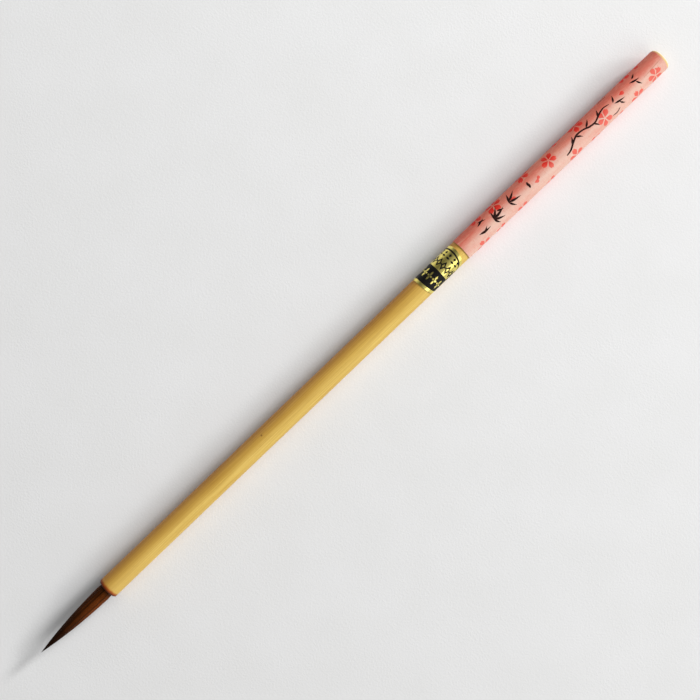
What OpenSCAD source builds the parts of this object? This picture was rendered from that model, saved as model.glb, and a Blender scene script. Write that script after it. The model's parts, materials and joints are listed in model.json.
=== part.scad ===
// Small writing brush: bamboo handle, patterned paper wrap, foil label and a pointed hair tuft
// whose hairs bend in four sprung zones. Millimetres. The brush lies along X on the plane z = 0,
// centred on x = 0, with its point towards -X. Lengths along the brush are measured from the
// handle's mouth: positive up the handle, negative out along the hair.

/* [Handle] */
// Length of the bamboo from its mouth to its top end
handle_len = 205.3; // [190:0.1:240]
// Diameter of the straight seat at the mouth, where a cap slides on
mouth_d = 5.96; // [5.6:0.02:6.1]
// Diameter of the upper handle, under the label and the paper
top_d = 6.16; // [6.0:0.02:6.6]
// Length of the straight cap seat
seat_len = 16; // [8:1:30]
// Where the taper ends and the handle runs straight to its top
taper_end = 80; // [60:1:111]
// Radius of the rounded outer edge at the mouth
mouth_round = 0.35; // [0.2:0.05:0.6]
// Radius of the rounded edge at the top end
top_round = 0.35; // [0.2:0.05:0.5]
// Diameter of the socket that holds the hair
socket_d = 4.1; // [4.05:0.05:4.2]
// Depth of the socket
socket_depth = 9; // [8:0.5:14]
// Diameter of the natural hollow above the socket
pith_d = 1.8; // [1:0.1:2.4]
// Solid bamboo left at the top end
top_wall = 3; // [2:0.5:6]

/* [Hair tuft] */
// Length of hair that shows outside the handle
tuft_len = 24.7; // [22:0.1:30]
// Diameter of the tuft where it leaves the handle
tuft_d = 3.94; // [3.8:0.02:3.96]
// How full the outline is: 1 is a straight cone, 3 is a blunt ogive
fullness = 2.2; // [1.8:0.05:2.6]
// Core hairs' share of the tuft's diameter
core_share = 0.6; // [0.5:0.05:0.7]
// Clearance between two bending zones
zone_gap = 0.12; // [0.08:0.01:0.2]

/* [Tied root] */
// Diameter of the hair where the thread pinches it
pinch_d = 3.08; // [2.9:0.02:3.1]
// Diameter of the binding thread
thread_d = 0.32; // [0.24:0.02:0.32]
// Turns of binding thread
thread_turns = 6; // [3:1:7]
// Thickness of the root end that is fused hard
fused_len = 0.9; // [0.6:0.1:1.2]

/* [Paper wrap] */
// Where the paper starts
wrap_from = 131.2; // [131.1:0.1:150]
// Thickness of the paper
wrap_t = 0.1; // [0.06:0.01:0.16]
// Width of the pasted lap
lap_w = 1.6; // [1:0.1:3]
// Bare bamboo past the paper at the top end
top_bare = 0.6; // [0.5:0.1:2]

/* [Foil label] */
// Where the label starts
label_from = 116.4; // [112:0.1:117]
// Height of the label at its middle
label_len = 13.55; // [10:0.05:14]
// Angle around the handle that the label covers
label_wrap = 210; // [120:5:220]
// Drop of the arched top edge from its middle to its corners
arch_rise = 3.1; // [1:0.1:4]
// Thickness of the foil
label_t = 0.07; // [0.05:0.01:0.1]
// Turn of the label's middle away from straight up
label_turn = 25; // [-45:1:45]

/* [Hidden] */
$fn = 96;
skin_gap = 0.01;                 // paste film under the paper and the foil
hair_gap = 0.02;                 // between core and coat hairs, and round the tied root
glue_stop = 1.6;                 // the glue ends this far inside the mouth
outline_steps = 40;              // points along the tuft's outline
arch_steps = 24;                 // points along the label's arched edge

mouth_r = mouth_d / 2;
top_r = top_d / 2;
socket_r = socket_d / 2;
tuft_r = tuft_d / 2;
pinch_r = pinch_d / 2;
thread_r = thread_d / 2;
wrap_r = top_r + skin_gap + wrap_t;
glue_in_r = pinch_r + thread_d + 2 * hair_gap;
hair_in_r = glue_in_r - hair_gap;            // hair inside the glue
base_to = socket_depth - 0.12;               // root end of the fused hair
base_from = base_to - fused_len;
thread_pitch = 0.9 * thread_d;               // the turns press into each other
bind_len = thread_pitch * (thread_turns - 1) + thread_d + 2 * hair_gap;
bind_to = base_from - 0.5;                   // the pinched stretch ends here
bind_from = bind_to - bind_len;

// Bending centres, as shares of the tuft's length measured out from the mouth
zone_shares = [0.102, 0.327, 0.539, 0.743];
function pivot(i) = -tuft_len * zone_shares[i];
function hair_r(u) = u >= 0 ? tuft_r : tuft_r * (1 - pow(-u / tuft_len, fullness));
function ball_r(i) = 1.1 * hair_r(pivot(i));

axis_z = wrap_r;
mouth_x = (tuft_len - handle_len) / 2;

// Lays a shape that stands along z down on the brush's axis, a distance up from the mouth
module laid(up = 0) {
    translate([mouth_x + up, 0, axis_z]) rotate([90, 0, 90]) children();
}

// Turns a flat half-outline, x out from the axis and y up the handle, into a solid
module turned() {
    laid() rotate_extrude() children();
}

// Everything outside a quarter circle in the corner at the origin; the corner's inside is -x, +y
module corner_waste(r) {
    difference() {
        translate([-r, -1]) square([r + 1, r + 1]);
        translate([-r, r]) circle(r);
    }
}

module handle_outline() {
    difference() {
        polygon([[0, 0], [mouth_r, 0], [mouth_r, seat_len], [top_r, taper_end],
                 [top_r, handle_len], [0, handle_len]]);
        translate([mouth_r, 0]) corner_waste(mouth_round);
        translate([top_r, handle_len]) mirror([0, 1]) corner_waste(top_round);
    }
}

module bamboo_handle() {
    color([0.80, 0.63, 0.33]) turned() difference() {
        handle_outline();
        translate([0, -1]) square([socket_r, socket_depth + 1]);
        square([pith_d / 2, handle_len - top_wall]);
    }
}

// A sheet of paper pasted round the handle, one edge lapped over the other low on one side
module washi_wrap() {
    lap_angle = lap_w / wrap_r * 180 / PI;
    reach = 2 * wrap_r;
    color([0.93, 0.66, 0.55]) laid(wrap_from)
    linear_extrude(handle_len - top_bare - wrap_from) {
        difference() {
            circle(wrap_r);
            circle(top_r + skin_gap);
        }
        rotate(225 - lap_angle / 2) intersection() {
            difference() {
                circle(wrap_r + wrap_t);
                circle(wrap_r - wrap_t / 2);
            }
            polygon([[0, 0], [reach, 0], [reach, reach * tan(lap_angle)]]);
        }
    }
}

// Height of the label's top edge at an angle round from its middle
function label_top(a) = let (share = a / (label_wrap / 2))
    label_len - arch_rise * (1 - sqrt(1 - share * share));

module foil_label() {
    half = label_wrap / 2;
    foil_r = top_r + skin_gap + label_t;
    // the arched outline seen from the side: x up the handle, y towards the label's middle
    side_view = concat([for (i = [0:arch_steps]) let (a = half * i / arch_steps)
                            [label_top(a), foil_r * cos(a)]],
                       [[0, foil_r * cos(half)], [0, foil_r + 1], [label_len, foil_r + 1]]);
    color([0.83, 0.71, 0.25])
    translate([mouth_x + label_from, 0, axis_z]) rotate([-label_turn, 0, 0]) intersection() {
        rotate([0, 90, 0]) difference() {
            cylinder(r = foil_r, h = label_len);
            translate([0, 0, -1]) cylinder(r = top_r + skin_gap, h = label_len + 2);
        }
        rotate([90, 0, 0]) translate([0, 0, -10]) linear_extrude(20) polygon(side_view);
    }
}

module head_glue() {
    color([0.72, 0.52, 0.30]) turned() difference() {
        translate([0, glue_stop]) square([socket_r - skin_gap, socket_depth - skin_gap - glue_stop]);
        translate([0, glue_stop - 1]) square([glue_in_r, base_to + hair_gap - glue_stop + 1]);
    }
}

module fused_base() {
    color([0.12, 0.08, 0.05]) turned() difference() {
        translate([0, base_from]) square([hair_in_r, fused_len]);
        translate([hair_in_r, base_to]) mirror([0, 1]) corner_waste(fused_len / 3);
    }
}

module binding_thread() {
    color([0.85, 0.80, 0.68]) turned() for (i = [0:thread_turns - 1])
        translate([pinch_r + hair_gap + thread_r, bind_from + hair_gap + thread_r + i * thread_pitch])
            circle(thread_r);
}

// Outline of the tuft from its point to the tied root
function tuft_outline() = concat(
    [[0, -tuft_len]],
    [for (i = [1:outline_steps]) let (u = -tuft_len * (1 - i / outline_steps)) [hair_r(u), u]],
    [[tuft_r, glue_stop - 0.3], [hair_in_r, glue_stop + 0.2], [hair_in_r, bind_from - 0.3],
     [pinch_r, bind_from], [pinch_r, bind_to], [hair_in_r, bind_to + 0.3],
     [hair_in_r, base_from - hair_gap], [0, base_from - hair_gap]]);

// The core's outline follows the tuft's, thinner by the core's share; the gap goes both ways from it
module core_outline(grow) {
    polygon([for (p = tuft_outline())
        [p[0] == 0 ? 0 : max(0.05, min(p[0], tuft_r) * core_share + grow), p[1]]]);
}

// One bending zone's half-outline: a ball at its root turns in the cup at the last zone's end.
// Zone -1 is the fixed root, which has no ball; zone 3 is the point, which has no cup.
module zone(i) {
    intersection() {
        difference() {
            union() {
                if (i < 0) translate([0, pivot(0)]) square([10, socket_depth - pivot(0)]);
                else translate([0, -tuft_len]) square([10, tuft_len + pivot(i)]);
                if (i >= 0) translate([0, pivot(i)]) circle(ball_r(i));
            }
            if (i < 3) translate([0, pivot(i + 1)]) circle(ball_r(i + 1) + zone_gap);
            if (i < 3) translate([0, -tuft_len - 1]) square([10, tuft_len + 1 + pivot(i + 1)]);
            translate([-10, -tuft_len - 5]) square([10, 2 * tuft_len + 10]);
        }
        children();
    }
}

module coat(i) {
    color([0.30, 0.14, 0.06]) turned() zone(i) difference() {
        polygon(tuft_outline());
        core_outline(hair_gap / 2);
    }
}

module core(i) {
    color([0.20, 0.09, 0.04]) turned() zone(i) core_outline(-hair_gap / 2);
}

module root_coat() { coat(-1); }
module root_core() { core(-1); }
module waist_coat() { coat(0); }
module waist_core() { core(0); }
module belly_coat() { coat(1); }
module belly_core() { core(1); }
module throat_coat() { coat(2); }
module throat_core() { core(2); }

// The longest core hairs, which reach past the coat and make the point
module point_hairs() {
    color([0.08, 0.04, 0.02]) turned() zone(3) polygon(tuft_outline());
}

bamboo_handle();
washi_wrap();
foil_label();
head_glue();
fused_base();
binding_thread();
root_coat();
root_core();
waist_coat();
waist_core();
belly_coat();
belly_core();
throat_coat();
throat_core();
point_hairs();
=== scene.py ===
import json
import math
import random

import bmesh
import bpy
import numpy as np
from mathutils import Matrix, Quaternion, Vector


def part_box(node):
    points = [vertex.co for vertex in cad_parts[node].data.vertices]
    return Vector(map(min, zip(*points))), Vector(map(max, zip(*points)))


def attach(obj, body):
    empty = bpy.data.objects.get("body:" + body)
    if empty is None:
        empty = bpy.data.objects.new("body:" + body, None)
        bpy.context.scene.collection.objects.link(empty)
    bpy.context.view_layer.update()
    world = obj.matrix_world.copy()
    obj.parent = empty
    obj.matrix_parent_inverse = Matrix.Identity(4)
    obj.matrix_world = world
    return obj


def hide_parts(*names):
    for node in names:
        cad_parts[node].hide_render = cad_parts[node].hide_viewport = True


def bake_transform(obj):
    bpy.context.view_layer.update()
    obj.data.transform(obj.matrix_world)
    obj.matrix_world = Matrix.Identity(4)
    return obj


# Looks of a small writing brush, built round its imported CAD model. Lengths are in metres.
# +X is from the point to the top end, and +Z up.
# "up" is the distance from the handle's mouth along the handle, and "out" the same out along the hair.
# "turn" is the angle round the brush from straight up, positive towards -Y, in radians.

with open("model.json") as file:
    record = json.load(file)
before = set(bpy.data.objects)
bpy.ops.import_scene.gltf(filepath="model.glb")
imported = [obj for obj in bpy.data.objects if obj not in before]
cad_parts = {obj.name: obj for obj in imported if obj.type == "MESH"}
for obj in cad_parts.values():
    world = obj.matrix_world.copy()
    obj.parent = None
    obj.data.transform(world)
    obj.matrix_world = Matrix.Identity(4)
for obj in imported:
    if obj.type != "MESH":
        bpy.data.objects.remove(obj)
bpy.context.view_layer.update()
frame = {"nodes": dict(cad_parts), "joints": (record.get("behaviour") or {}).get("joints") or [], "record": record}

MM = 0.001
handle_low, handle_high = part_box("bamboo_handle")
wrap_low, wrap_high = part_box("washi_wrap")
label_low, label_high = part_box("foil_label")
root_low, root_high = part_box("root_coat")
mounts = {m["name"]: m for m in frame["record"]["mounts"]}

MOUTH_X = handle_low.x
AXIS_Z = (handle_low.z + handle_high.z) / 2
HANDLE_LEN = handle_high.x - MOUTH_X
MOUTH_R = mounts["cap_seat"]["dims"]["r_mm"] * MM
TOP_R = (handle_high.z - handle_low.z) / 2
TUFT_LEN = MOUTH_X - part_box("point_hairs")[0].x
TUFT_R = (root_high.z - root_low.z) / 2
WRAP_FROM = wrap_low.x - MOUTH_X
WRAP_TO = wrap_high.x - MOUTH_X
LABEL_FROM = label_low.x - MOUTH_X
LABEL_LEN = label_high.x - label_low.x

# These repeat the CAD source's values
SEAT_LEN = 16 * MM
TAPER_END = 80 * MM
MOUTH_ROUND = 0.35 * MM
TOP_ROUND = 0.35 * MM
SOCKET_R = 2.05 * MM
SOCKET_DEPTH = 9 * MM
PITH_R = 0.9 * MM
TOP_WALL = 3 * MM
SKIN_GAP = 0.01 * MM
WRAP_T = 0.1 * MM
LAP_W = 1.6 * MM
LAP_TURN = math.radians(135)
LABEL_T = 0.07 * MM
LABEL_HALF = math.radians(105)
LABEL_TURN = math.radians(-25)
ARCH_RISE = 3.1 * MM
FULLNESS = 2.2
# Depth into the socket and radius of the tied root
ROOT_DEPTHS = [0, 1.3 * MM, 1.8 * MM, 5.3 * MM, 5.7 * MM, 7.45 * MM, 7.8 * MM, 7.9 * MM]
ROOT_RADII = [TUFT_R, TUFT_R, 1.87 * MM, 1.87 * MM, 1.53 * MM, 1.53 * MM, 1.86 * MM, 1.86 * MM]

PAPER_R = TOP_R + SKIN_GAP + WRAP_T
FOIL_R = TOP_R + SKIN_GAP + LABEL_T
LIT_TURN = math.radians(52)  # the side that faces the lamps, where the painted light is palest
STAIN_FROM, STAIN_TO = 0.75 * MM, 1.45 * MM  # where the mouth's stain fades out
BROWNER_FROM, BROWNER_TO = 2 * MM, 26 * MM  # where the browner stretch fades out
SPOT_UP, SPOT_TURN, SPOT_R = 58.5 * MM, math.radians(-22), 3.04 * MM  # the natural spot
INK_RISE = 0.007 * MM  # how far a print stands out of its surface
INK_DEPTH = 0.02 * MM  # how far its underside is sunk in
AXIS_HOLE = 0.05 * MM  # radius of the ring that closes a turned end
PANEL_LOW, PANEL_HIGH = 0.85 * MM, 6.30 * MM  # the label's dark panel, up from its lower edge
LABEL_MARGIN = math.radians(5)  # bare foil down each side of the label's print
HAIRS = 300
FLOOR_REACH = 3.0
CAMERA_AT = (0.9 * MM, 1.24 * MM, AXIS_Z + 322 * MM)
CAMERA_VIEW = math.radians(32.5)
CAMERA_ROLL = math.radians(-43.79)


# ---- mesh building

def spot(up, turn, radius):
    """A point at a distance up the handle, an angle round it and a radius."""
    return (MOUTH_X + up, -radius * math.sin(turn), AXIS_Z + radius * math.cos(turn))


class Shape:
    """The points, faces and point values of one piece, gathered from closed parts."""

    def __init__(self):
        self.points = []
        self.faces = []
        self.values = {}

    def _add(self, points, values):
        """Adds points and their values; returns the first one's number."""
        first = len(self.points)
        self.points.extend(points)
        for name, value in values.items():
            known = self.values.setdefault(name, [])
            known.extend(value if hasattr(value, "__len__") else [value] * len(points))
        return first

    def tube(self, rings, loop=False, **values):
        """A solid through rings of equally many points, with flat ends or, as a loop, joined up."""
        count = len(rings[0])
        first = self._add([p for ring in rings for p in ring], values)
        for r in range(len(rings) if loop else len(rings) - 1):
            a, b = first + r * count, first + (r + 1) % len(rings) * count
            for c in range(count):
                d = (c + 1) % count
                self.faces.append((a + c, a + d, b + d, b + c))
        if loop:
            return
        self.faces.append(tuple(range(first + count - 1, first - 1, -1)))
        last = first + (len(rings) - 1) * count
        self.faces.append(tuple(range(last, last + count)))

    def patch(self, outside, inside, **values):
        """A thin closed solid between two grids of equally many points."""
        rows, cols = len(outside), len(outside[0])
        size = rows * cols
        first = self._add([p for grid in (outside, inside) for row in grid for p in row], values)
        for r in range(rows - 1):
            for c in range(cols - 1):
                a = first + r * cols + c
                self.faces.append((a, a + 1, a + cols + 1, a + cols))
                b = a + size
                self.faces.append((b, b + cols, b + cols + 1, b + 1))
        edge = [(0, c) for c in range(cols - 1)] + [(r, cols - 1) for r in range(rows - 1)]
        edge += [(rows - 1, c) for c in range(cols - 1, 0, -1)] + [(r, 0) for r in range(rows - 1, 0, -1)]
        for (r, c), (r2, c2) in zip(edge, edge[1:] + edge[:1]):
            a, b = first + r * cols + c, first + r2 * cols + c2
            self.faces.append((a, a + size, b + size, b))

    def piece(self, name, material, sharp_angle=40):
        """Makes the object, smooth but for edges sharper than so many degrees."""
        mesh = bpy.data.meshes.new(name)
        mesh.from_pydata(self.points, [], self.faces)
        for key, values in self.values.items():
            mesh.attributes.new(key, "FLOAT", "POINT").data.foreach_set("value", values)
        work = bmesh.new()
        work.from_mesh(mesh)
        bmesh.ops.recalc_face_normals(work, faces=work.faces)
        work.to_mesh(mesh)
        work.free()
        mesh.materials.append(material)
        mesh.shade_smooth()
        mesh.set_sharp_from_angle(angle=math.radians(sharp_angle))
        made = bpy.data.objects.new(name, mesh)
        bpy.context.scene.collection.objects.link(made)
        return made


def quarter(centre_up, centre_r, radius, start, end, steps=8):
    """An arc's points (up, radius), its angles in degrees from the handle's direction."""
    made = []
    for i in range(steps + 1):
        a = math.radians(start + (end - start) * i / steps)
        made.append((centre_up + radius * math.cos(a), centre_r + radius * math.sin(a)))
    return made


def smooth(low, high, value):
    """A smooth rise from 0 at low to 1 at high, which may also be the lower one."""
    share = min(1.0, max(0.0, (value - low) / (high - low)))
    return share * share * (3 - 2 * share)


# ---- materials

def new_material(name):
    """A new material and its node tree."""
    material = bpy.data.materials.new(name)
    material.use_nodes = True
    return material, material.node_tree


def node(tree, kind, inputs=None, **settings):
    """A new node; an input may be a value or another node's output."""
    made = tree.nodes.new("ShaderNode" + kind)
    for key, value in settings.items():
        setattr(made, key, value)
    for key, value in (inputs or {}).items():
        if isinstance(value, bpy.types.NodeSocket):
            tree.links.new(value, made.inputs[key])
        else:
            made.inputs[key].default_value = value
    return made


def place(tree):
    """The point's own place, in metres."""
    return node(tree, "TexCoord").outputs["Object"]


def stretched(tree, at, along, across):
    """A place with one unit for each given length, in metres, along the brush and across it."""
    scale = (1 / along, 1 / across, 1 / across)
    return node(tree, "Mapping", {"Vector": at, "Scale": scale}).outputs[0]


def noise(tree, vector, scale=1.0, detail=3, roughness=0.5, distortion=0.0):
    """Smooth noise, mostly between 0.3 and 0.7."""
    return node(tree, "TexNoise", {"Vector": vector, "Scale": scale, "Detail": detail,
                                   "Roughness": roughness, "Distortion": distortion}).outputs[0]


def ramp(tree, factor, stops):
    """Colours or greys at positions from 0 to 1."""
    made = node(tree, "ValToRGB", {"Fac": factor})
    elements = made.color_ramp.elements
    while len(elements) < len(stops):
        elements.new(0.5)
    for element, (position, colour) in zip(elements, stops):
        element.position = position
        element.color = (*colour, 1) if hasattr(colour, "__len__") else (colour, colour, colour, 1)
    return made.outputs[0]


def between(tree, value, low, high):
    """A roughness that follows a noise."""
    return ramp(tree, value, [(0.3, low), (0.7, high)])


def mix(tree, factor, a, b, blend="MIX"):
    """A mix of two colours, given or from other nodes."""
    made = node(tree, "Mix", data_type="RGBA", blend_type=blend)
    for index, value in ((0, factor), (6, a), (7, b)):
        if isinstance(value, bpy.types.NodeSocket):
            tree.links.new(value, made.inputs[index])
        elif hasattr(value, "__len__"):
            made.inputs[index].default_value = (*value, 1)
        else:
            made.inputs[index].default_value = value
    return made.outputs[2]


def maths(tree, operation, a, b=0.0, c=0.0):
    return node(tree, "Math", {0: a, 1: b, 2: c}, operation=operation).outputs[0]


def step(tree, value, low, high, out_low=0.0, out_high=1.0):
    """A smooth step of a value between two limits."""
    return node(tree, "MapRange", {"Value": value, "From Min": low, "From Max": high,
                                   "To Min": out_low, "To Max": out_high},
                interpolation_type="SMOOTHSTEP").outputs[0]


def bump(tree, height, distance, strength=1.0, normal=None):
    """A bumpy normal, the bumps' height in metres."""
    inputs = {"Height": height, "Distance": distance, "Strength": strength}
    if normal is not None:
        inputs["Normal"] = normal
    return node(tree, "Bump", inputs).outputs[0]


def finish_material(material, colour, roughness, normal=None, **even):
    """Links the colour, roughness and normal to the shader, and sets its even values."""
    tree = material.node_tree
    shader = tree.nodes["Principled BSDF"]
    for name, value in (("Base Color", colour), ("Roughness", roughness), ("Normal", normal)):
        if isinstance(value, bpy.types.NodeSocket):
            tree.links.new(value, shader.inputs[name])
        elif value is not None:
            shader.inputs[name].default_value = (*value, 1) if hasattr(value, "__len__") else value
    for name, value in even.items():
        shader.inputs[name.replace("_", " ")].default_value = value
    return material


def make_bamboo():
    """Polished bamboo: long fibres, dark flecks, a stained mouth and a cut top, with painted shade on one side, a
    painted shadow under the paper's edge and a painted highlight on the top rim.
    """
    material, tree = new_material("bamboo")
    at = place(tree)
    broad = noise(tree, stretched(tree, at, 0.07, 0.0016), detail=4, roughness=0.6)
    fine = noise(tree, stretched(tree, at, 0.018, 0.00022), roughness=0.65)
    cloudy = noise(tree, stretched(tree, at, 0.03, 0.02), detail=2)
    tone = ramp(tree, broad, [(0.28, (0.55, 0.34, 0.064)), (0.50, (0.66, 0.45, 0.100)),
                              (0.74, (0.74, 0.55, 0.16))])
    tone = mix(tree, step(tree, fine, 0.38, 0.60, 0.0, 0.60), tone, (0.50, 0.30, 0.060))
    tone = mix(tree, step(tree, cloudy, 0.35, 0.7, 0.0, 0.35), tone, (0.75, 0.55, 0.15))
    # painted shade: the side of the tube turned away from the lamps is painted deeper and more orange than the lit
    # side
    side = maths(tree, "MULTIPLY_ADD", lit_side_reach(tree, at), 0.5, 0.5)
    painted_shade_tint = ramp(tree, side, [(0.34, (0.90, 0.62, 0.48)), (0.50, (0.95, 0.72, 0.58)),
                             (0.70, (1.0, 0.88, 0.74)), (0.96, (1.0, 1.0, 1.0))])
    tone = mix(tree, 1.0, tone, painted_shade_tint, "MULTIPLY")
    # dark flecks, as left by the fibres' ends
    fleck = node(tree, "TexVoronoi", {"Vector": stretched(tree, at, 0.0022, 0.0006),
                                     })
    fleck_size = noise(tree, at, scale=420, detail=1)
    fleck_edge = maths(tree, "MULTIPLY", fleck_size, 0.22)
    fleck_mask = maths(tree, "LESS_THAN", fleck.outputs["Distance"], fleck_edge)
    rare = step(tree, noise(tree, at, scale=170, detail=1), 0.52, 0.6)
    fleck_share = maths(tree, "MULTIPLY", maths(tree, "MULTIPLY", fleck_mask, rare), 0.30)
    tone = mix(tree, fleck_share, tone, (0.22, 0.10, 0.03))
    # one small natural spot
    away = node(tree, "VectorMath", {0: at, 1: spot(SPOT_UP, SPOT_TURN, SPOT_R)}, operation="DISTANCE")
    mark = step(tree, away.outputs["Value"], 0.16 * MM, 0.34 * MM, 0.75, 0.0)
    tone = mix(tree, mark, tone, (0.20, 0.08, 0.02))
    # the first stretch above the mouth is painted a little browner, fading out further up
    grown = maths(tree, "SUBTRACT", node(tree, "SeparateXYZ", {0: at}).outputs["X"], MOUTH_X)
    tone = mix(tree, step(tree, grown, BROWNER_FROM, BROWNER_TO, 0.17, 0.0), tone, (0.40, 0.19, 0.025))
    # the mouth is stained by lacquer, darkest at its very edge
    ragged = noise(tree, at, scale=900, detail=2)
    wander = maths(tree, "MULTIPLY", maths(tree, "SUBTRACT", ragged, 0.5), 0.0004)
    up = maths(tree, "ADD", grown, wander)
    stain = ramp(tree, maths(tree, "DIVIDE", up, 1 * MM), [
        (0.0, (0.05, 0.006, 0.001)), (0.30, (0.12, 0.016, 0.003)),
        (0.62, (0.26, 0.044, 0.006)), (1.0, (0.40, 0.115, 0.016))])
    tone = mix(tree, step(tree, up, STAIN_FROM, STAIN_TO, 0.97, 0.0), tone, stain)
    # painted shadow: a darker line on the bamboo just below the paper's lower edge, where the paper's edge casts
    # its shadow
    pasted = step(tree, grown, WRAP_FROM - 0.42 * MM, WRAP_FROM - 0.12 * MM, 0.0, 0.6)
    tone = mix(tree, pasted, tone, (0.38, 0.17, 0.04))
    # painted highlight: the rim at the top end, which faces the window, is painted pale
    painted_rim_light = step(tree, grown, HANDLE_LEN - 1.1 * MM, HANDLE_LEN - 0.5 * MM, 0.0, 0.75)
    tone = mix(tree, painted_rim_light, tone, (0.72, 0.52, 0.27))
    # the cut top shows the bundles of fibres
    facing = node(tree, "SeparateXYZ", {0: node(tree, "NewGeometry").outputs["Normal"]}).outputs["X"]
    cut = step(tree, facing, 0.72, 0.9)
    pores = node(tree, "TexVoronoi", {"Vector": stretched(tree, at, 0.01, 0.00042),
                                      "Randomness": 0.8})
    pore_mask = step(tree, pores.outputs["Distance"], 0.22, 0.40, 1.0, 0.0)
    end_tone = mix(tree, pore_mask, (0.27, 0.165, 0.065), (0.10, 0.045, 0.015))
    tone = mix(tree, maths(tree, "MULTIPLY", cut, 0.85), tone, end_tone)
    rough = between(tree, fine, 0.34, 0.50)
    normal = bump(tree, fine, 0.00002, 0.5)
    normal = bump(tree, broad, 0.00006, 0.4, normal)
    normal = bump(tree, maths(tree, "MULTIPLY", pore_mask, cut), 0.00004, 0.6, normal)
    return finish_material(material, tone, rough, normal, Specular_IOR_Level=0.2)


def lit_side_reach(tree, at):
    """How far a point is towards the side that faces the lamps, for painted light and shade: 1 at its middle and
    -1 opposite.
    """
    reach = node(tree, "VectorMath", {0: at, 1: (0, -math.sin(LIT_TURN), math.cos(LIT_TURN))},
                 operation="DOT_PRODUCT").outputs["Value"]
    return maths(tree, "DIVIDE", maths(tree, "SUBTRACT", reach, AXIS_Z * math.cos(LIT_TURN)), PAPER_R)


def make_washi():
    """Pasted paper in a clouded pink, with its fibres; painted shade makes it deep on the side away from the lamps
    and painted light makes it pale on the lit side.
    """
    material, tree = new_material("washi_paper")
    at = place(tree)
    clouds = noise(tree, stretched(tree, at, 0.016, 0.004), detail=4, roughness=0.6, distortion=0.4)
    haze = noise(tree, stretched(tree, at, 0.011, 0.0024), roughness=0.55, distortion=0.8)
    fibre = noise(tree, stretched(tree, at, 0.0016, 0.00012), roughness=0.7)
    cross = noise(tree, stretched(tree, at, 0.00014, 0.0012), detail=2, roughness=0.6)
    # painted light and shade: deep pink for the shaded side, pale cream for the lit side
    deep = ramp(tree, clouds, [(0.28, (0.72, 0.14, 0.09)), (0.5, (0.75, 0.175, 0.115)),
                               (0.74, (0.78, 0.24, 0.165))])
    pale = ramp(tree, clouds, [(0.28, (0.67, 0.34, 0.27)), (0.5, (0.69, 0.44, 0.355)),
                               (0.74, (0.72, 0.51, 0.43))])
    share = maths(tree, "MULTIPLY_ADD", clouds, 0.5, maths(tree, "SUBTRACT", lit_side_reach(tree, at), 0.25))
    tone = mix(tree, step(tree, share, 0.20, 0.92), deep, pale)
    tone = mix(tree, step(tree, haze, 0.56, 0.76, 0.0, 0.55), tone, (0.80, 0.57, 0.39))
    tone = mix(tree, step(tree, fibre, 0.48, 0.70, 0.0, 0.30), tone, (0.88, 0.56, 0.44))
    tone = mix(tree, step(tree, cross, 0.50, 0.70, 0.0, 0.30), tone, (0.62, 0.14, 0.09))
    rough = between(tree, fibre, 0.55, 0.72)
    normal = bump(tree, fibre, 0.00003, 0.6)
    normal = bump(tree, cross, 0.00002, 0.4, normal)
    return finish_material(material, tone, rough, normal, Specular_IOR_Level=0.2, Sheen_Weight=0.04)


def make_petal():
    material, tree = new_material("petal_print")
    at = place(tree)
    bloom = node(tree, "Attribute", attribute_name="bloom").outputs["Fac"]
    mottle = noise(tree, at, scale=2600, roughness=0.6)
    tone = ramp(tree, bloom, [(0.0, (0.68, 0.010, 0.006)), (0.55, (0.78, 0.024, 0.013)),
                              (1.0, (0.82, 0.055, 0.033))])
    tone = mix(tree, step(tree, mottle, 0.45, 0.70, 0.0, 0.25), tone, (0.80, 0.12, 0.08))
    # painted light: the petals are painted paler on the lit side
    tone = mix(tree, step(tree, lit_side_reach(tree, at), 0.20, 0.92, 0.0, 0.62), tone, (0.66, 0.19, 0.145))
    rough = between(tree, mottle, 0.5, 0.66)
    return finish_material(material, tone, rough, bump(tree, mottle, 0.00001, 0.5), Specular_IOR_Level=0.2)


def make_ink():
    material, tree = new_material("ink")
    at = place(tree)
    dry = noise(tree, stretched(tree, at, 0.0012, 0.0003), roughness=0.65)
    tone = ramp(tree, dry, [(0.35, (0.006, 0.003, 0.003)), (0.72, (0.050, 0.012, 0.008))])
    rough = between(tree, dry, 0.50, 0.70)
    return finish_material(material, tone, rough, bump(tree, dry, 0.00001, 0.5), Specular_IOR_Level=0.1)


def make_foil():
    material, tree = new_material("gold_foil")
    at = place(tree)
    waves = noise(tree, stretched(tree, at, 0.006, 0.0016), detail=2)
    grain = noise(tree, at, scale=5200, detail=2, roughness=0.6)
    tone = mix(tree, waves, (0.84, 0.69, 0.15), (0.92, 0.81, 0.27))
    rough = between(tree, grain, 0.16, 0.27)
    normal = bump(tree, waves, 0.00009, 0.5)
    normal = bump(tree, grain, 0.000004, 0.4, normal)
    return finish_material(material, tone, rough, normal, Metallic=1.0)


def make_print():
    material, tree = new_material("black_print")
    at = place(tree)
    grain = noise(tree, at, scale=4200, roughness=0.6)
    tone = ramp(tree, grain, [(0.3, (0.003, 0.003, 0.003)), (0.75, (0.011, 0.009, 0.007))])
    rough = between(tree, grain, 0.30, 0.45)
    return finish_material(material, tone, rough, bump(tree, grain, 0.000005, 0.5), Specular_IOR_Level=0.15)


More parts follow.
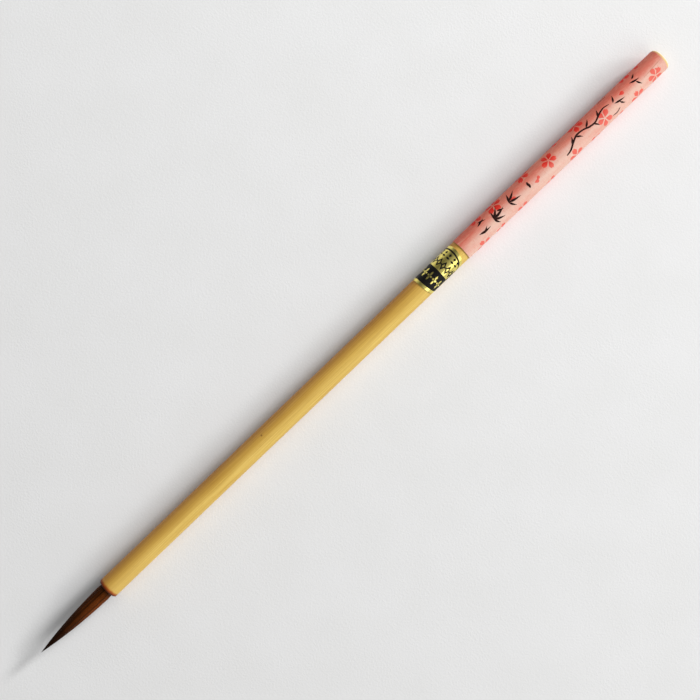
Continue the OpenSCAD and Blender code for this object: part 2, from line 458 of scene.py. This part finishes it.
def make_hair(name, dark, brown, red, roughness):
    """Hair, from brown at the mouth to nearly black at the point, a little different on each hair."""
    material, tree = new_material(name)
    out = node(tree, "Attribute", attribute_name="out").outputs["Fac"]
    strand = node(tree, "Attribute", attribute_name="strand").outputs["Fac"]
    fibre = node(tree, "CombineXYZ", {0: maths(tree, "MULTIPLY", out, 14.0),
                                      1: maths(tree, "MULTIPLY", strand, 90.0)})
    streak = noise(tree, fibre.outputs[0], scale=1.0, roughness=0.6)
    tone = ramp(tree, strand, [(0.0, dark), (0.45, brown), (1.0, red)])
    tone = mix(tree, step(tree, streak, 0.40, 0.72, 0.0, 0.55), tone, dark)
    tip = ramp(tree, out, [(0.14, 0.0), (0.30, 0.20), (0.44, 0.48), (0.60, 0.70), (0.88, 0.95)])
    tone = mix(tree, tip, tone, (0.0030, 0.0014, 0.0010))
    root = step(tree, out, 0.0, 0.06, 0.80, 0.0)
    tone = mix(tree, root, tone, (0.008, 0.0025, 0.001))
    rough = maths(tree, "ADD", maths(tree, "MULTIPLY", streak, 0.22), roughness)
    return finish_material(material, tone, rough, bump(tree, streak, 0.00002, 0.4), Specular_IOR_Level=0.32,
                           Specular_Tint=(1.0, 0.32, 0.08, 1.0))


def make_glue():
    material, tree = new_material("hide_glue")
    at = place(tree)
    bubbles = node(tree, "TexVoronoi", {"Vector": at, "Scale": 2400.0})
    cloud = noise(tree, at, scale=700)
    tone = mix(tree, cloud, (0.40, 0.20, 0.06), (0.62, 0.38, 0.14))
    rough = between(tree, cloud, 0.18, 0.32)
    normal = bump(tree, bubbles.outputs["Distance"], 0.00003, 0.5)
    return finish_material(material, tone, rough, normal, Coat_Weight=0.3)


def make_thread():
    material, tree = new_material("binding_cotton")
    at = place(tree)
    twist = node(tree, "TexWave", {"Vector": stretched(tree, at, 0.0002, 0.0005), "Scale": 1.0,
                                   "Distortion": 3.0, "Detail": 2.0}, bands_direction="DIAGONAL")
    fluff = noise(tree, at, scale=9000)
    tone = mix(tree, twist.outputs["Fac"], (0.62, 0.53, 0.36), (0.80, 0.73, 0.55))
    tone = mix(tree, step(tree, fluff, 0.5, 0.75, 0.0, 0.4), tone, (0.50, 0.40, 0.25))
    normal = bump(tree, twist.outputs["Fac"], 0.00005, 0.7)
    return finish_material(material, tone, 0.85, normal, Sheen_Weight=0.2)


def make_fused():
    material, tree = new_material("fused_hair_ends")
    at = place(tree)
    ends = node(tree, "TexVoronoi", {"Vector": stretched(tree, at, 0.002, 0.00012)})
    gap = step(tree, ends.outputs["Distance"], 0.2, 0.6)
    tone = mix(tree, gap, (0.05, 0.02, 0.01), (0.012, 0.006, 0.004))
    rough = between(tree, noise(tree, at, scale=1800), 0.2, 0.4)
    return finish_material(material, tone, rough, bump(tree, ends.outputs["Distance"], 0.00004, 0.6))


# ---- the bamboo

def handle_radius(up):
    """The handle's outer radius: even at the cap seat, then slightly wider."""
    if up >= TAPER_END:
        return TOP_R
    share = max(0.0, (up - SEAT_LEN) / (TAPER_END - SEAT_LEN))
    return MOUTH_R + (TOP_R - MOUTH_R) * share


def make_handle(material):
    """The turned bamboo: solid outside, with the socket and the natural hollow inside."""
    sides = 160
    top = quarter(HANDLE_LEN - TOP_ROUND, TOP_R - TOP_ROUND, TOP_ROUND, 0, 90)
    outline = [(HANDLE_LEN, AXIS_HOLE), (HANDLE_LEN, 1.2 * MM), (HANDLE_LEN, 2.2 * MM)] + top
    body_steps = 62
    body_from, body_to = MOUTH_ROUND + 0.15 * MM, HANDLE_LEN - TOP_ROUND - 0.3 * MM
    for i in range(body_steps + 1):
        up = body_to + (body_from - body_to) * i / body_steps
        outline.append((up, handle_radius(up)))
    outline += quarter(MOUTH_ROUND, MOUTH_R - MOUTH_ROUND, MOUTH_ROUND, 90, 180)
    outline += [(0, SOCKET_R + 0.04 * MM), (0.04 * MM, SOCKET_R), (SOCKET_DEPTH / 2, SOCKET_R)]
    outline += [(SOCKET_DEPTH, SOCKET_R), (SOCKET_DEPTH, PITH_R)]
    pith_steps = 12
    pith_end = HANDLE_LEN - TOP_WALL
    for i in range(1, pith_steps + 1):
        outline.append((SOCKET_DEPTH + (pith_end - SOCKET_DEPTH) * i / pith_steps, PITH_R))
    outline.append((pith_end, AXIS_HOLE))
    shape = Shape()
    rings = []
    for up, radius in outline:
        # slight natural unevenness, only on the bare outside and only inwards
        bare = smooth(3 * MM, 14 * MM, up) * smooth(LABEL_FROM - 1 * MM, LABEL_FROM - 8 * MM, up)
        bare *= 0.02 * MM if radius > SOCKET_R + 0.5 * MM else 0
        ring = []
        for i in range(sides):
            turn = 2 * math.pi * i / sides
            uneven = math.sin(2 * turn + up * 31) * math.sin(up * 83) + 0.5 * math.sin(3 * turn - up * 57)
            ring.append(spot(up, turn, radius - bare * (0.75 + 0.5 * uneven)))
        rings.append(ring)
    shape.tube(rings)
    piece = shape.piece("bamboo_stem", material, 35)
    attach(piece, "handle")
    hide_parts("bamboo_handle")


# ---- the paper and its print

LAP_HALF = LAP_W / PAPER_R / 2
LAP_RISE = math.radians(6)


def paper_radius(turn):
    """The paper's outer radius, with the step over the pasted lap."""
    turn = turn % (2 * math.pi)
    if turn > LAP_TURN + LAP_HALF:
        return PAPER_R
    return PAPER_R + WRAP_T * smooth(LAP_TURN - LAP_HALF - LAP_RISE, LAP_TURN - LAP_HALF, turn)


def sheet_grids(rows, columns, point, thickness):
    """The outside and inside of a sheet: point(share of the way up, column, depth) over a grid."""
    return [[[point(r / rows, column, depth) for column in columns] for r in range(rows + 1)]
            for depth in (0, thickness)]


def make_paper(material):
    """One sheet rolled round the handle, its last edge pasted over its first."""
    start = LAP_TURN - LAP_HALF
    end = start + 2 * math.pi
    steps = 150
    turns = [start + (end - LAP_RISE - start) * i / steps for i in range(steps + 1)]
    turns += [end - LAP_RISE + LAP_RISE * i / 6 for i in range(1, 7)]
    turns += [end + 2 * LAP_HALF * i / 12 for i in range(1, 13)]

    def edge(turn, at_top):
        """How far the sheet's slightly uneven edge stops short of the CAD's."""
        wave = 0.035 * math.sin(2 * turn + 0.7) + 0.02 * math.sin(5 * turn + 2.0)
        wave += 0.012 * math.sin(11 * turn)
        return (0.07 + wave) * MM * (-1 if at_top else 1)

    def point(share, turn, depth):
        low, high = WRAP_FROM + edge(turn, False), WRAP_TO + edge(turn, True)
        lift = WRAP_T * smooth(end - LAP_RISE, end, turn) + (0.002 * MM if turn > end - LAP_RISE else 0)
        return spot(low + (high - low) * share, turn, PAPER_R - depth + lift)

    shape = Shape()
    shape.patch(*sheet_grids(64, turns, point, WRAP_T))
    piece = shape.piece("washi_sheet", material, 50)
    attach(piece, "handle")
    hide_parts("washi_wrap")


def printed(shape, grid, radius_of, rise=INK_RISE, **values):
    """A thin printed patch on a round surface; the grid holds (up, turn) pairs."""
    outside = [[spot(up, turn, radius_of(turn) + rise) for up, turn in row] for row in grid]
    inside = [[spot(up, turn, radius_of(turn) - INK_DEPTH) for up, turn in row] for row in grid]
    shape.patch(outside, inside, **values)


def petal_grid(up, turn, size, heading, radius):
    """A notched blossom petal from its base at (up, turn), as (up, turn) pairs."""
    rows, cols = 8, 8
    grid = []
    for r in range(rows + 1):
        v = r / rows
        width = size * 0.285 * (0.12 + 0.88 * math.sin(math.pi * 0.80 * v ** 1.3))
        row = []
        for c in range(cols + 1):
            side = 2 * c / cols - 1
            reach = size * (1 - 0.14 * side * side - 0.16 * max(0.0, 1 - abs(side) / 0.5))
            along = size * 0.12 + v * (reach - size * 0.12)
            across = side * width
            row.append((up + along * math.cos(heading) - across * math.sin(heading),
                        turn + (along * math.sin(heading) + across * math.cos(heading)) / radius))
        grid.append(row)
    return grid


def make_blossoms(material):
    """Five-petalled blossoms and loose petals, scattered over the paper."""
    # both lists: up in mm, turn in degrees, size in mm, heading in degrees
    blossoms = [
        (136.8, 85, 2.6, 180), (139.3, -82, 2.5, 200), (145.3, -56, 2.7, 75), (143.3, 96, 2.5, 0),
        (151.3, 91, 2.6, 10), (156.2, -74, 2.6, 54), (164.1, -21, 2.5, 170), (169.3, -103, 2.5, 40),
        (171.1, 70, 2.6, 260), (175.8, -65, 2.6, 110), (178.0, 101, 2.4, 30), (182.7, 21, 2.5, 250),
        (193.8, 72, 2.5, 255), (194.1, -86, 2.5, 60), (198.6, -95, 2.4, 20), (200.6, 45, 2.5, 262),
        (134.3, 170, 2.5, 20), (140.8, -140, 2.6, 130), (148.0, 158, 2.4, 220), (149.3, -128, 2.5, 60),
        (156.6, 140, 2.6, 90), (160.4, -150, 2.4, 10), (165.8, 172, 2.5, 300), (170.6, 130, 2.6, 45),
        (177.8, -148, 2.5, 75), (184.8, 165, 2.6, 15), (186.6, -122, 2.4, 200), (191.8, -165, 2.5, 110),
        (199.3, 150, 2.5, 330), (201.8, -140, 2.0, 250), (161.8, 96, 2.4, 140), (187.3, 108, 2.5, 210),
    ]
    loose = [
        (149.4, -10, 1.9, 20), (157.2, 10, 1.7, 15), (158.2, 12, 1.5, -25), (189.4, -12, 1.9, 5),
        (151.8, -165, 1.9, 60), (172.3, -165, 1.8, 210), (181.3, 138, 1.9, 320), (201.3, 12, 0.9, 60),
    ]
    shape = Shape()

    def petal(up, turn, size, heading):
        """Prints one petal."""
        grid = petal_grid(up * MM, math.radians(turn), size * MM, math.radians(heading), PAPER_R)
        bloom = [r / (len(grid) - 1) for r, row in enumerate(grid) for _ in row] * 2
        printed(shape, grid, paper_radius, bloom=bloom)

    chance = random.Random(5)
    for up, turn, size, heading in blossoms:
        for i in range(5):
            petal(up, turn, size * chance.uniform(0.95, 1.05), heading + 72 * i + chance.uniform(-4, 4))
    for up, turn, size, heading in loose:
        petal(up, turn, size, heading)
    piece = shape.piece("blossom_print", material)
    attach(piece, "handle")


def smooth_path(points, step_length):
    """A Catmull-Rom curve through the points, each (up, across, half width), in even steps."""
    points = [np.array(p, float) for p in points]
    points = [2 * points[0] - points[1]] + points + [2 * points[-1] - points[-2]]
    made = []
    for a, b, c, d in zip(points, points[1:], points[2:], points[3:]):
        count = max(2, int(np.linalg.norm(c[:2] - b[:2]) / step_length))
        for i in range(count):
            t = i / count
            made.append(0.5 * (2 * b + (c - a) * t + (2 * a - 5 * b + 4 * c - d) * t ** 2
                               + (3 * b - 3 * c + d - a) * t ** 3))
    made.append(points[-2])
    return made


def stroke_grid(points, radius, step_length=0.14 * MM, cols=4):
    """A brush stroke along a path of (up mm, turn degrees, half width mm), as (up, turn) pairs."""
    path = smooth_path([(u * MM, math.radians(t) * radius, w * MM) for u, t, w in points], step_length)
    grid = []
    for i, here in enumerate(path):
        ahead, behind = path[min(i + 1, len(path) - 1)], path[max(i - 1, 0)]
        direction = ahead[:2] - behind[:2]
        direction = direction / np.linalg.norm(direction)
        side = np.array([-direction[1], direction[0]])
        width = max(here[2], 0.012 * MM)
        row = []
        for c in range(cols + 1):
            across = here[:2] + side * width * (2 * c / cols - 1)
            row.append((across[0], across[1] / radius))
        grid.append(row)
    return grid


def make_ink_drawing(material):
    """Brush-drawn bamboo leaves and a trailing vine."""
    shape = Shape()

    def draw(points):
        """One stroke through points of (up mm, turn degrees, half width mm)."""
        printed(shape, stroke_grid(points, PAPER_R), paper_radius, INK_RISE * 2)

    def leaf(up, turn, length, heading, width, bend=0.0):
        """One leaf: a fine start, a full belly and a long point."""
        a = math.radians(heading)
        points = []
        for share, fat in ((0, 0.12), (0.12, 0.4), (0.32, 0.78), (0.55, 0.66), (0.8, 0.32), (1, 0.03)):
            along, across = length * share, bend * math.sin(math.pi * share)
            points.append((up + along * math.cos(a) - across * math.sin(a),
                           turn + math.degrees((along * math.sin(a) + across * math.cos(a)) * MM / PAPER_R),
                           width * fat))
        draw(points)

    for values in ((138.4, -26, 2.6, -16, 0.34), (139.0, -42, 2.4, 22, 0.32),
                   (137.2, 9, 3.9, 6, 0.42, 0.2), (138.6, 22, 2.0, -34, 0.32)):
        leaf(*values)
    # a dense spray and a lighter one
    for length, heading, width in ((2.3, -76, 0.34), (3.3, -42, 0.42), (4.2, -10, 0.46), (3.4, 24, 0.42),
                                   (2.2, 62, 0.36)):
        leaf(142.8, 3, length, heading, width, 0.15)
    leaf(144.9, -17, 2.0, 24, 0.34)
    for length, heading, width in ((2.4, -64, 0.36), (3.5, -28, 0.42), (3.9, 14, 0.42), (2.5, 58, 0.36)):
        leaf(148.7, -8, length, heading, width, 0.15)
    draw([(155.9, -17, 0.16), (155.7, -8, 0.32), (155.8, 4, 0.34), (155.6, 15, 0.14)])
    # a trailing vine with leaves
    draw([(168.6, 26, 0.14), (170.2, 20, 0.26), (172.0, 2, 0.24), (174.0, -14, 0.26), (176.2, -12, 0.22),
          (178.2, 0, 0.26), (180.2, 2, 0.22), (182.2, -12, 0.24), (184.2, -20, 0.18), (186.0, -14, 0.07)])
    for values in ((171.4, 6, 2.4, -50, 0.36, 0.15), (173.6, -10, 2.0, 38, 0.32, -0.15),
                   (177.2, -8, 2.6, -40, 0.36, 0.15), (181.4, -6, 2.2, -58, 0.34, 0.15),
                   (179.4, 3, 1.9, 52, 0.32, -0.15)):
        leaf(*values)
    draw([(184.2, -66, 0.07), (185.6, -69, 0.16), (187.2, -66, 0.06)])
    draw([(185.0, 43, 0.07), (186.4, 46, 0.17), (187.8, 36, 0.09)])
    for up, turn, length, heading, width in (
            (187.2, 2, 3.4, 10, 0.34), (187.0, -5, 2.1, -56, 0.32), (188.6, 12, 1.8, 48, 0.28),
            (193.8, -19, 3.0, 14, 0.34), (195.4, -6, 2.0, 60, 0.30), (195.0, -26, 1.9, -34, 0.30)):
        leaf(up, turn, length, heading, width, 0.12)
    piece = shape.piece("ink_drawing", material)
    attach(piece, "handle")


def make_crease(material):
    """A fine brown crease near the top of the paper."""
    shape = Shape()
    grid = stroke_grid([(197.6, 10, 0.03), (199.8, 7, 0.07), (202.2, 3, 0.065), (204.4, 0, 0.03)], PAPER_R)
    printed(shape, grid, paper_radius, 0.012 * MM)
    piece = shape.piece("paper_crease", material)
    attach(piece, "handle")


def make_crease_material():
    material, tree = new_material("crease_shade")
    at = place(tree)
    broken = noise(tree, stretched(tree, at, 0.0012, 0.0002), roughness=0.65)
    tone = mix(tree, broken, (0.45, 0.13, 0.07), (0.66, 0.26, 0.17))
    return finish_material(material, tone, between(tree, broken, 0.6, 0.75))


# ---- the foil label

def label_edges(angle):
    """Lowest and highest point of the label, up the handle, at an angle round from its middle."""
    low = 1.02 * MM * (max(0.0, angle + math.radians(15)) / math.radians(110)) ** 2
    share = min(1.0, abs(angle) / LABEL_HALF)
    high = LABEL_LEN - ARCH_RISE * (1 - math.sqrt(1 - share * share))
    return LABEL_FROM + low, LABEL_FROM + high


def label_columns(half, count):
    """Angles across the label, closer together towards its sides."""
    return [half * math.sin(math.pi * (i / count - 0.5)) for i in range(count + 1)]


def make_label(material):
    def point(share, angle, depth):
        low, high = label_edges(angle)
        return spot(low + (high - low) * share, LABEL_TURN + angle, FOIL_R - depth)

    shape = Shape()
    shape.patch(*sheet_grids(16, label_columns(LABEL_HALF, 120), point, LABEL_T))
    piece = shape.piece("foil_sheet", material, 50)
    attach(piece, "handle")
    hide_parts("foil_label")


def foil_radius(_turn):
    """The label's outer radius, the same all round."""
    return FOIL_R


def make_label_print(material):
    """The black print: a panel, an arched frame line, bold lozenges and small marks."""
    shape = Shape()
    half = LABEL_HALF - LABEL_MARGIN

    def panel_point(share, angle):
        low, high = label_edges(angle)[0] + PANEL_LOW, LABEL_FROM + PANEL_HIGH
        return low + (high - low) * share, LABEL_TURN + angle

    columns = label_columns(half, 100)
    grid = [[panel_point(r / 8, angle) for angle in columns] for r in range(9)]
    printed(shape, grid, foil_radius)

    # the frame line follows the arch, a little inside it, and runs down both sides
    inset, line = 0.82 * MM, 0.48 * MM
    path = []
    for angle in label_columns(half, 90):
        share = angle / half
        high = LABEL_FROM + LABEL_LEN - inset - ARCH_RISE * (1 - math.sqrt(max(0.0, 1 - share * share)))
        path.append((high, LABEL_TURN + angle))
    grid = [[(up - drop, turn) for up, turn in path] for drop in (line, line / 2, 0)]
    printed(shape, grid, foil_radius)
    for side in (-1, 1):
        turn = math.degrees(LABEL_TURN + side * (half - 0.5 * line / FOIL_R))
        low, high = LABEL_FROM + PANEL_HIGH, LABEL_FROM + LABEL_LEN - inset - ARCH_RISE
        points = [(up / MM, turn, line / MM / 2) for up in (low, (low + high) / 2, high)]
        printed(shape, stroke_grid(points, FOIL_R), foil_radius)

    def lozenge(up, turn, half_up, half_across, thick):
        """A bold lozenge frame."""
        corners = [(half_up, 0), (0, half_across), (-half_up, 0), (0, -half_across)]
        per_side = 6
        outer, inner = [], []
        for i in range(4 * per_side):
            a, b = corners[i // per_side], corners[(i // per_side + 1) % 4]
            t = (i % per_side) / per_side
            x, y = a[0] + (b[0] - a[0]) * t, a[1] + (b[1] - a[1]) * t
            outer.append((up + x, turn + y / FOIL_R))
            inner.append((up + x * (1 - thick), turn + y * (1 - thick) / FOIL_R))
        middle = [((a[0] + b[0]) / 2, (a[1] + b[1]) / 2) for a, b in zip(outer, inner)]
        top = [[spot(u, t, FOIL_R + INK_RISE) for u, t in ring] for ring in (outer, middle, inner)]
        low = [[spot(u, t, FOIL_R - INK_DEPTH) for u, t in ring] for ring in (inner, middle, outer)]
        shape.tube(top + low, loop=True)

    def diamond(up, turn, half_up, half_across):
        """A filled diamond: a square grid turned on its corner."""
        places = [i / 3 - 1 for i in range(7)]
        printed(shape, [[(up + half_up * (v + w) / 2, turn + half_across * (v - w) / 2 / FOIL_R)
                         for w in places] for v in places], foil_radius)

    up = LABEL_FROM + 8.15 * MM
    for turn in (-96, -66, -36, -6, 24, 54):
        lozenge(up, math.radians(turn + 2), 1.45 * MM, 0.72 * MM, 0.58)
        diamond(up, math.radians(turn + 17), 0.34 * MM, 0.22 * MM)
    up = LABEL_FROM + 10.9 * MM
    for turn in (-71, -46, -16, 14, 39):
        diamond(up + 0.50 * MM, math.radians(turn), 0.50 * MM, 0.42 * MM)
        diamond(up - 0.50 * MM, math.radians(turn), 0.34 * MM, 0.66 * MM)
    piece = shape.piece("label_print", material)
    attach(piece, "handle")


def make_panel_flowers(material):
    """Four-petalled diamond flowers in gold on the dark panel."""
    shape = Shape()
    up = LABEL_FROM + 3.75 * MM
    size = 1.45 * MM
    for turn in (-112, -80, -48, -16, 16, 48):
        for heading in (0, 90, 180, 270):
            a = math.radians(heading)
            points = []
            for share, fat in ((0.10, 0.02), (0.3, 0.16), (0.58, 0.26), (0.82, 0.16), (1.0, 0.02)):
                reach = size * share * (1.0 if heading % 180 == 0 else 0.52)
                points.append(((up + reach * math.cos(a)) / MM,
                               turn + math.degrees(reach * math.sin(a) / FOIL_R),
                               fat * (1.15 if heading % 180 else 1.0)))
            printed(shape, stroke_grid(points, FOIL_R), foil_radius, INK_RISE * 2)
    piece = shape.piece("panel_flowers", material)
    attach(piece, "handle")


# ---- the hair

joint_x = [j["pos_m"][0] for j in frame["joints"]]
# the hair is cut into one piece for each joint, halfway between the joints
cuts = [(a + b) / 2 for a, b in zip(joint_x, joint_x[1:])]
zone_from = [MOUTH_X + ROOT_DEPTHS[-1]] + cuts
zone_to = cuts + [MOUTH_X - TUFT_LEN]


def bundle_radius(out):
    """Radius of the whole bundle of hair, out along the tuft or, negative, into the socket."""
    if out < 0:
        return float(np.interp(-out, ROOT_DEPTHS, ROOT_RADII))
    share = min(1.0, out / TUFT_LEN)
    spread = (0.10 * (1 - share) + 0.08 * (1 - share) ** 8) * MM * smooth(0.2 * MM, 2 * MM, out)
    return TUFT_R * (1 - share ** FULLNESS) + spread


def hair_stations(spacing):
    """Where the hair's rings go, in metres of X, every cut among them."""
    places = set(cuts)
    places.update(MOUTH_X + d for d in ROOT_DEPTHS)
    count = round(TUFT_LEN / spacing)
    for i in range(1, count + 1):
        x = MOUTH_X - TUFT_LEN * i / count
        if all(abs(x - c) > spacing * 0.35 for c in cuts):
            places.add(x)
    places.add(MOUTH_X - TUFT_LEN + 0.3 * MM)
    return sorted(places, reverse=True)


def split_by_zone(xs):
    """The station numbers of each zone, the cut between two zones being in both."""
    found = []
    for start, end in zip(zone_from, zone_to):
        found.append([i for i, x in enumerate(xs) if end - 1e-9 <= x <= start + 1e-9])
    return found


def make_core(materials):
    """The inner hair: one solid bundle with fine uneven flutes, cut into zones."""
    chance = random.Random(11)
    waves = [(chance.randint(9, 60), chance.uniform(0, 2 * math.pi), chance.uniform(2, 14))
             for _ in range(14)]
    sides = 120
    xs = [x for x in hair_stations(0.5 * MM) if x > MOUTH_X - TUFT_LEN + 0.25 * MM]
    rings, outs = [], []
    for x in xs:
        out = MOUTH_X - x
        base = max(0.02 * MM, bundle_radius(out) - 0.07 * MM - 0.03 * MM * smooth(0, TUFT_LEN, out))
        ring = []
        for i in range(sides):
            turn = 2 * math.pi * i / sides
            flute = sum(math.sin(n * turn + p + f * out / TUFT_LEN) for n, p, f in waves) / len(waves)
            ring.append(spot(-out, turn, base * (1 + 0.035 * flute)))
        rings.append(ring)
        outs.append(out / TUFT_LEN)
    made = []
    for zone, stations in enumerate(split_by_zone(xs)):
        shape = Shape()
        strand = [0.5 + 0.5 * math.sin(37.7 * i / sides * 2 * math.pi) for i in range(sides)]
        along = [outs[s] for s in stations for _ in range(sides)]
        shape.tube([rings[s] for s in stations], out=along, strand=strand * len(stations))
        made.append(shape.piece(f"hair_core_{zone + 1}", materials[zone], 50))
    return made


def make_strands(materials):
    """Single hairs laid over the core, drawn together towards the point, cut into zones."""
    chance = random.Random(23)
    sides = 6
    xs = hair_stations(0.62 * MM)
    zones = split_by_zone(xs)
    shapes = [Shape() for _ in zones]
    clumps = [chance.random() for _ in range(31)]
    corner = [(math.cos(2 * math.pi * i / sides), math.sin(2 * math.pi * i / sides)) for i in range(sides)]
    for hair in range(HAIRS):
        base_turn = 2 * math.pi * (hair + chance.uniform(-0.45, 0.45)) / HAIRS
        depth = abs(chance.gauss(0, 0.035)) * MM
        thick = chance.uniform(0.045, 0.072) * MM
        wander = chance.uniform(-0.07, 0.07)
        wave, phase = chance.uniform(0.5, 1.6), chance.uniform(0, 2 * math.pi)
        reach = TUFT_LEN * (1 - 0.34 * chance.random() ** 1.6)
        if hair % 12 == 0:
            reach = TUFT_LEN
        place_in_clumps = len(clumps) * hair / HAIRS
        clump = int(place_in_clumps)
        blend = smooth(0.25, 0.75, place_in_clumps - clump)
        tone = (1 - blend) * clumps[clump] + blend * clumps[(clump + 1) % len(clumps)]
        # painted light: the hairs on the lit side, towards -Y, are painted a little redder and brighter
        tone = 0.65 * tone + 0.35 * chance.random() + 0.34 * smooth(0.30, 0.75, math.sin(base_turn))
        path = []
        for x in xs:
            out = MOUTH_X - x
            if out > reach:
                break
            share = max(0.0, out / TUFT_LEN)
            own = max(0.0, out / reach)
            radius = bundle_radius(out)
            size = min(thick * (1 - smooth(0.55, 1.0, own) * 0.85), 0.55 * radius + 0.006 * MM)
            centre = max(0.0, radius - depth * (1 - share) - size)
            turn = base_turn + wander * math.sin(2 * math.pi * wave * share + phase) * smooth(0, 0.3, share)
            path.append((x, centre, turn, size, share))
        # the hair ends in a fine point a little short of its reach
        for zone, stations in enumerate(zones):
            inside = [path[s] for s in stations if s < len(path)]
            if len(inside) < 2:
                continue
            rings, along = [], []
            for number, (x, centre, turn, size, share) in enumerate(inside):
                last = number == len(inside) - 1 and path[-1][0] == x
                size = 0.25 * size if last else size
                ring = []
                for c, s in corner:
                    y = centre * math.sin(turn) + size * (1.25 * s * math.cos(turn) + c * math.sin(turn))
                    z = centre * math.cos(turn) + size * (c * math.cos(turn) - 1.25 * s * math.sin(turn))
                    ring.append((x, -y, AXIS_Z + z))
                rings.append(ring)
                along += [share] * sides
            shapes[zone].tube(rings, out=along, strand=tone)
    return [shape.piece(f"hair_coat_{zone + 1}", materials[zone], 80) for zone, shape in enumerate(shapes)]


def make_tuft():
    """The whole tuft: a core and single hairs in each zone, in place of the CAD's hair."""
    coat = make_hair("coat_hair",
                     (0.007, 0.0020, 0.0005), (0.034, 0.0085, 0.0013), (0.21, 0.050, 0.008), 0.34)
    core = make_hair("core_hair",
                     (0.006, 0.002, 0.0008), (0.016, 0.005, 0.002), (0.030, 0.009, 0.003), 0.45)
    point = make_hair("point_hair",
                      (0.006, 0.0018, 0.0005), (0.026, 0.0068, 0.0013), (0.10, 0.024, 0.004), 0.34)
    cores = make_core([core] * 4)
    coats = make_strands([coat, coat, coat, point])
    replaced = [
        (["root_core", "waist_core"], ["root_coat", "waist_coat"]),
        (["belly_core"], ["belly_coat"]),
        (["throat_core"], ["throat_coat"]),
        (["point_hairs"], ["point_hairs"]),
    ]
    for zone, (inner, outer) in enumerate(zip(cores, coats)):
        for piece, nodes in ((inner, replaced[zone][0]), (outer, replaced[zone][1])):
            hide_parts(*nodes)
            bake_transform(piece)


# ---- the room

def make_floor():
    """Pale, finely grained paper under the brush."""
    material, tree = new_material("paper_floor")
    at = place(tree)
    grain = noise(tree, at, scale=1700, roughness=0.6)
    cloud = noise(tree, at, scale=60, detail=2)
    tone = ramp(tree, cloud, [(0.3, (0.79, 0.79, 0.786)), (0.7, (0.81, 0.81, 0.81))])
    finish_material(material, tone, 0.9, bump(tree, grain, 0.00012, 0.30), Specular_IOR_Level=0.15)
    far = FLOOR_REACH
    mesh = bpy.data.meshes.new("floor")
    mesh.from_pydata([(-far, -far, 0), (far, -far, 0), (far, far, 0), (-far, far, 0)], [], [(0, 1, 2, 3)])
    mesh.materials.append(material)
    floor = bpy.data.objects.new("floor", mesh)
    bpy.context.scene.collection.objects.link(floor)


def make_light(name, direction, distance, size, power, roll=0.0):
    """A soft rectangular lamp that looks at the brush from a direction, in watts and metres."""
    lamp = bpy.data.lights.new(name, "AREA")
    lamp.shape = "RECTANGLE"
    lamp.size, lamp.size_y = size
    lamp.energy = power
    made = bpy.data.objects.new(name, lamp)
    way = np.array(direction, float)
    way = way / np.linalg.norm(way)
    made.location = way * distance
    made.rotation_mode = "QUATERNION"
    made.rotation_quaternion = Vector(way).to_track_quat("Z", "Y") @ Quaternion((0, 0, 1), roll)
    bpy.context.scene.collection.objects.link(made)


def make_world():
    """A pale room, dimmer overhead and behind the brush and brighter on the window's side."""
    world = bpy.data.worlds.new("studio")
    world.use_nodes = True
    tree = world.node_tree
    way = node(tree, "SeparateXYZ", {0: node(tree, "TexCoord").outputs["Generated"]})
    across = maths(tree, "MULTIPLY_ADD", way.outputs["Y"], 0.5, 0.5)
    walls = ramp(tree, across, [(0.0, 0.62), (0.15, 0.64), (0.28, 0.60), (0.36, 0.50), (0.45, 0.41),
                                (0.55, 0.30), (0.64, 0.20), (0.82, 0.14), (0.92, 0.22), (1.0, 0.60)])
    horizon = ramp(tree, across, [(0.0, 0.60), (0.5, 0.48), (1.0, 0.60)])
    low = step(tree, way.outputs["Z"], 0.0, 0.34, 1.0, 0.0)
    tree.links.new(mix(tree, low, walls, horizon), tree.nodes["Background"].inputs["Color"])
    ends = step(tree, maths(tree, "ABSOLUTE", way.outputs["X"]), 0.25, 0.65, 0.95, 0.52)
    tree.links.new(ends, tree.nodes["Background"].inputs["Strength"])
    bpy.context.scene.world = world


def make_room():
    """The floor, the walls' light, a low window off the top end and weak fills."""
    make_floor()
    make_world()
    make_light("window", (0.963, -0.093, 0.250), 2.2, (0.35, 0.23), 53.5)
    make_light("window_side", (0.877, -0.354, 0.326), 2.2, (1.35, 0.27), 35.0, math.radians(-13))
    make_light("fill", (0.9, 0.30, 1.0), 0.7, (0.35, 0.35), 0.82)
    make_light("strip", (0, -0.80, 0.60), 1.0, (0.35, 0.75), 1.4)


def make_camera():
    """Straight above the brush, which lies across the picture's corners."""
    camera = bpy.data.cameras.new("camera")
    camera.sensor_width = 36
    camera.lens = camera.sensor_width / (2 * math.tan(CAMERA_VIEW / 2))
    camera.clip_start, camera.clip_end = 0.01, 20
    made = bpy.data.objects.new("camera", camera)
    made.location = CAMERA_AT
    made.rotation_euler = (0, 0, CAMERA_ROLL)
    bpy.context.scene.collection.objects.link(made)
    bpy.context.scene.camera = made


make_camera()
make_room()
make_handle(make_bamboo())
make_paper(make_washi())
make_blossoms(make_petal())
make_ink_drawing(make_ink())
make_crease(make_crease_material())
foil = make_foil()
make_label(foil)
make_label_print(make_print())
make_panel_flowers(foil)
make_tuft()

# the CAD's own meshes that show as they are only need their materials
for name, material in (("head_glue", make_glue()), ("binding_thread", make_thread()),
                       ("fused_base", make_fused())):
    for slot in frame["nodes"][name].material_slots:
        slot.material = material

bpy.context.scene.view_settings.view_transform = "Standard"
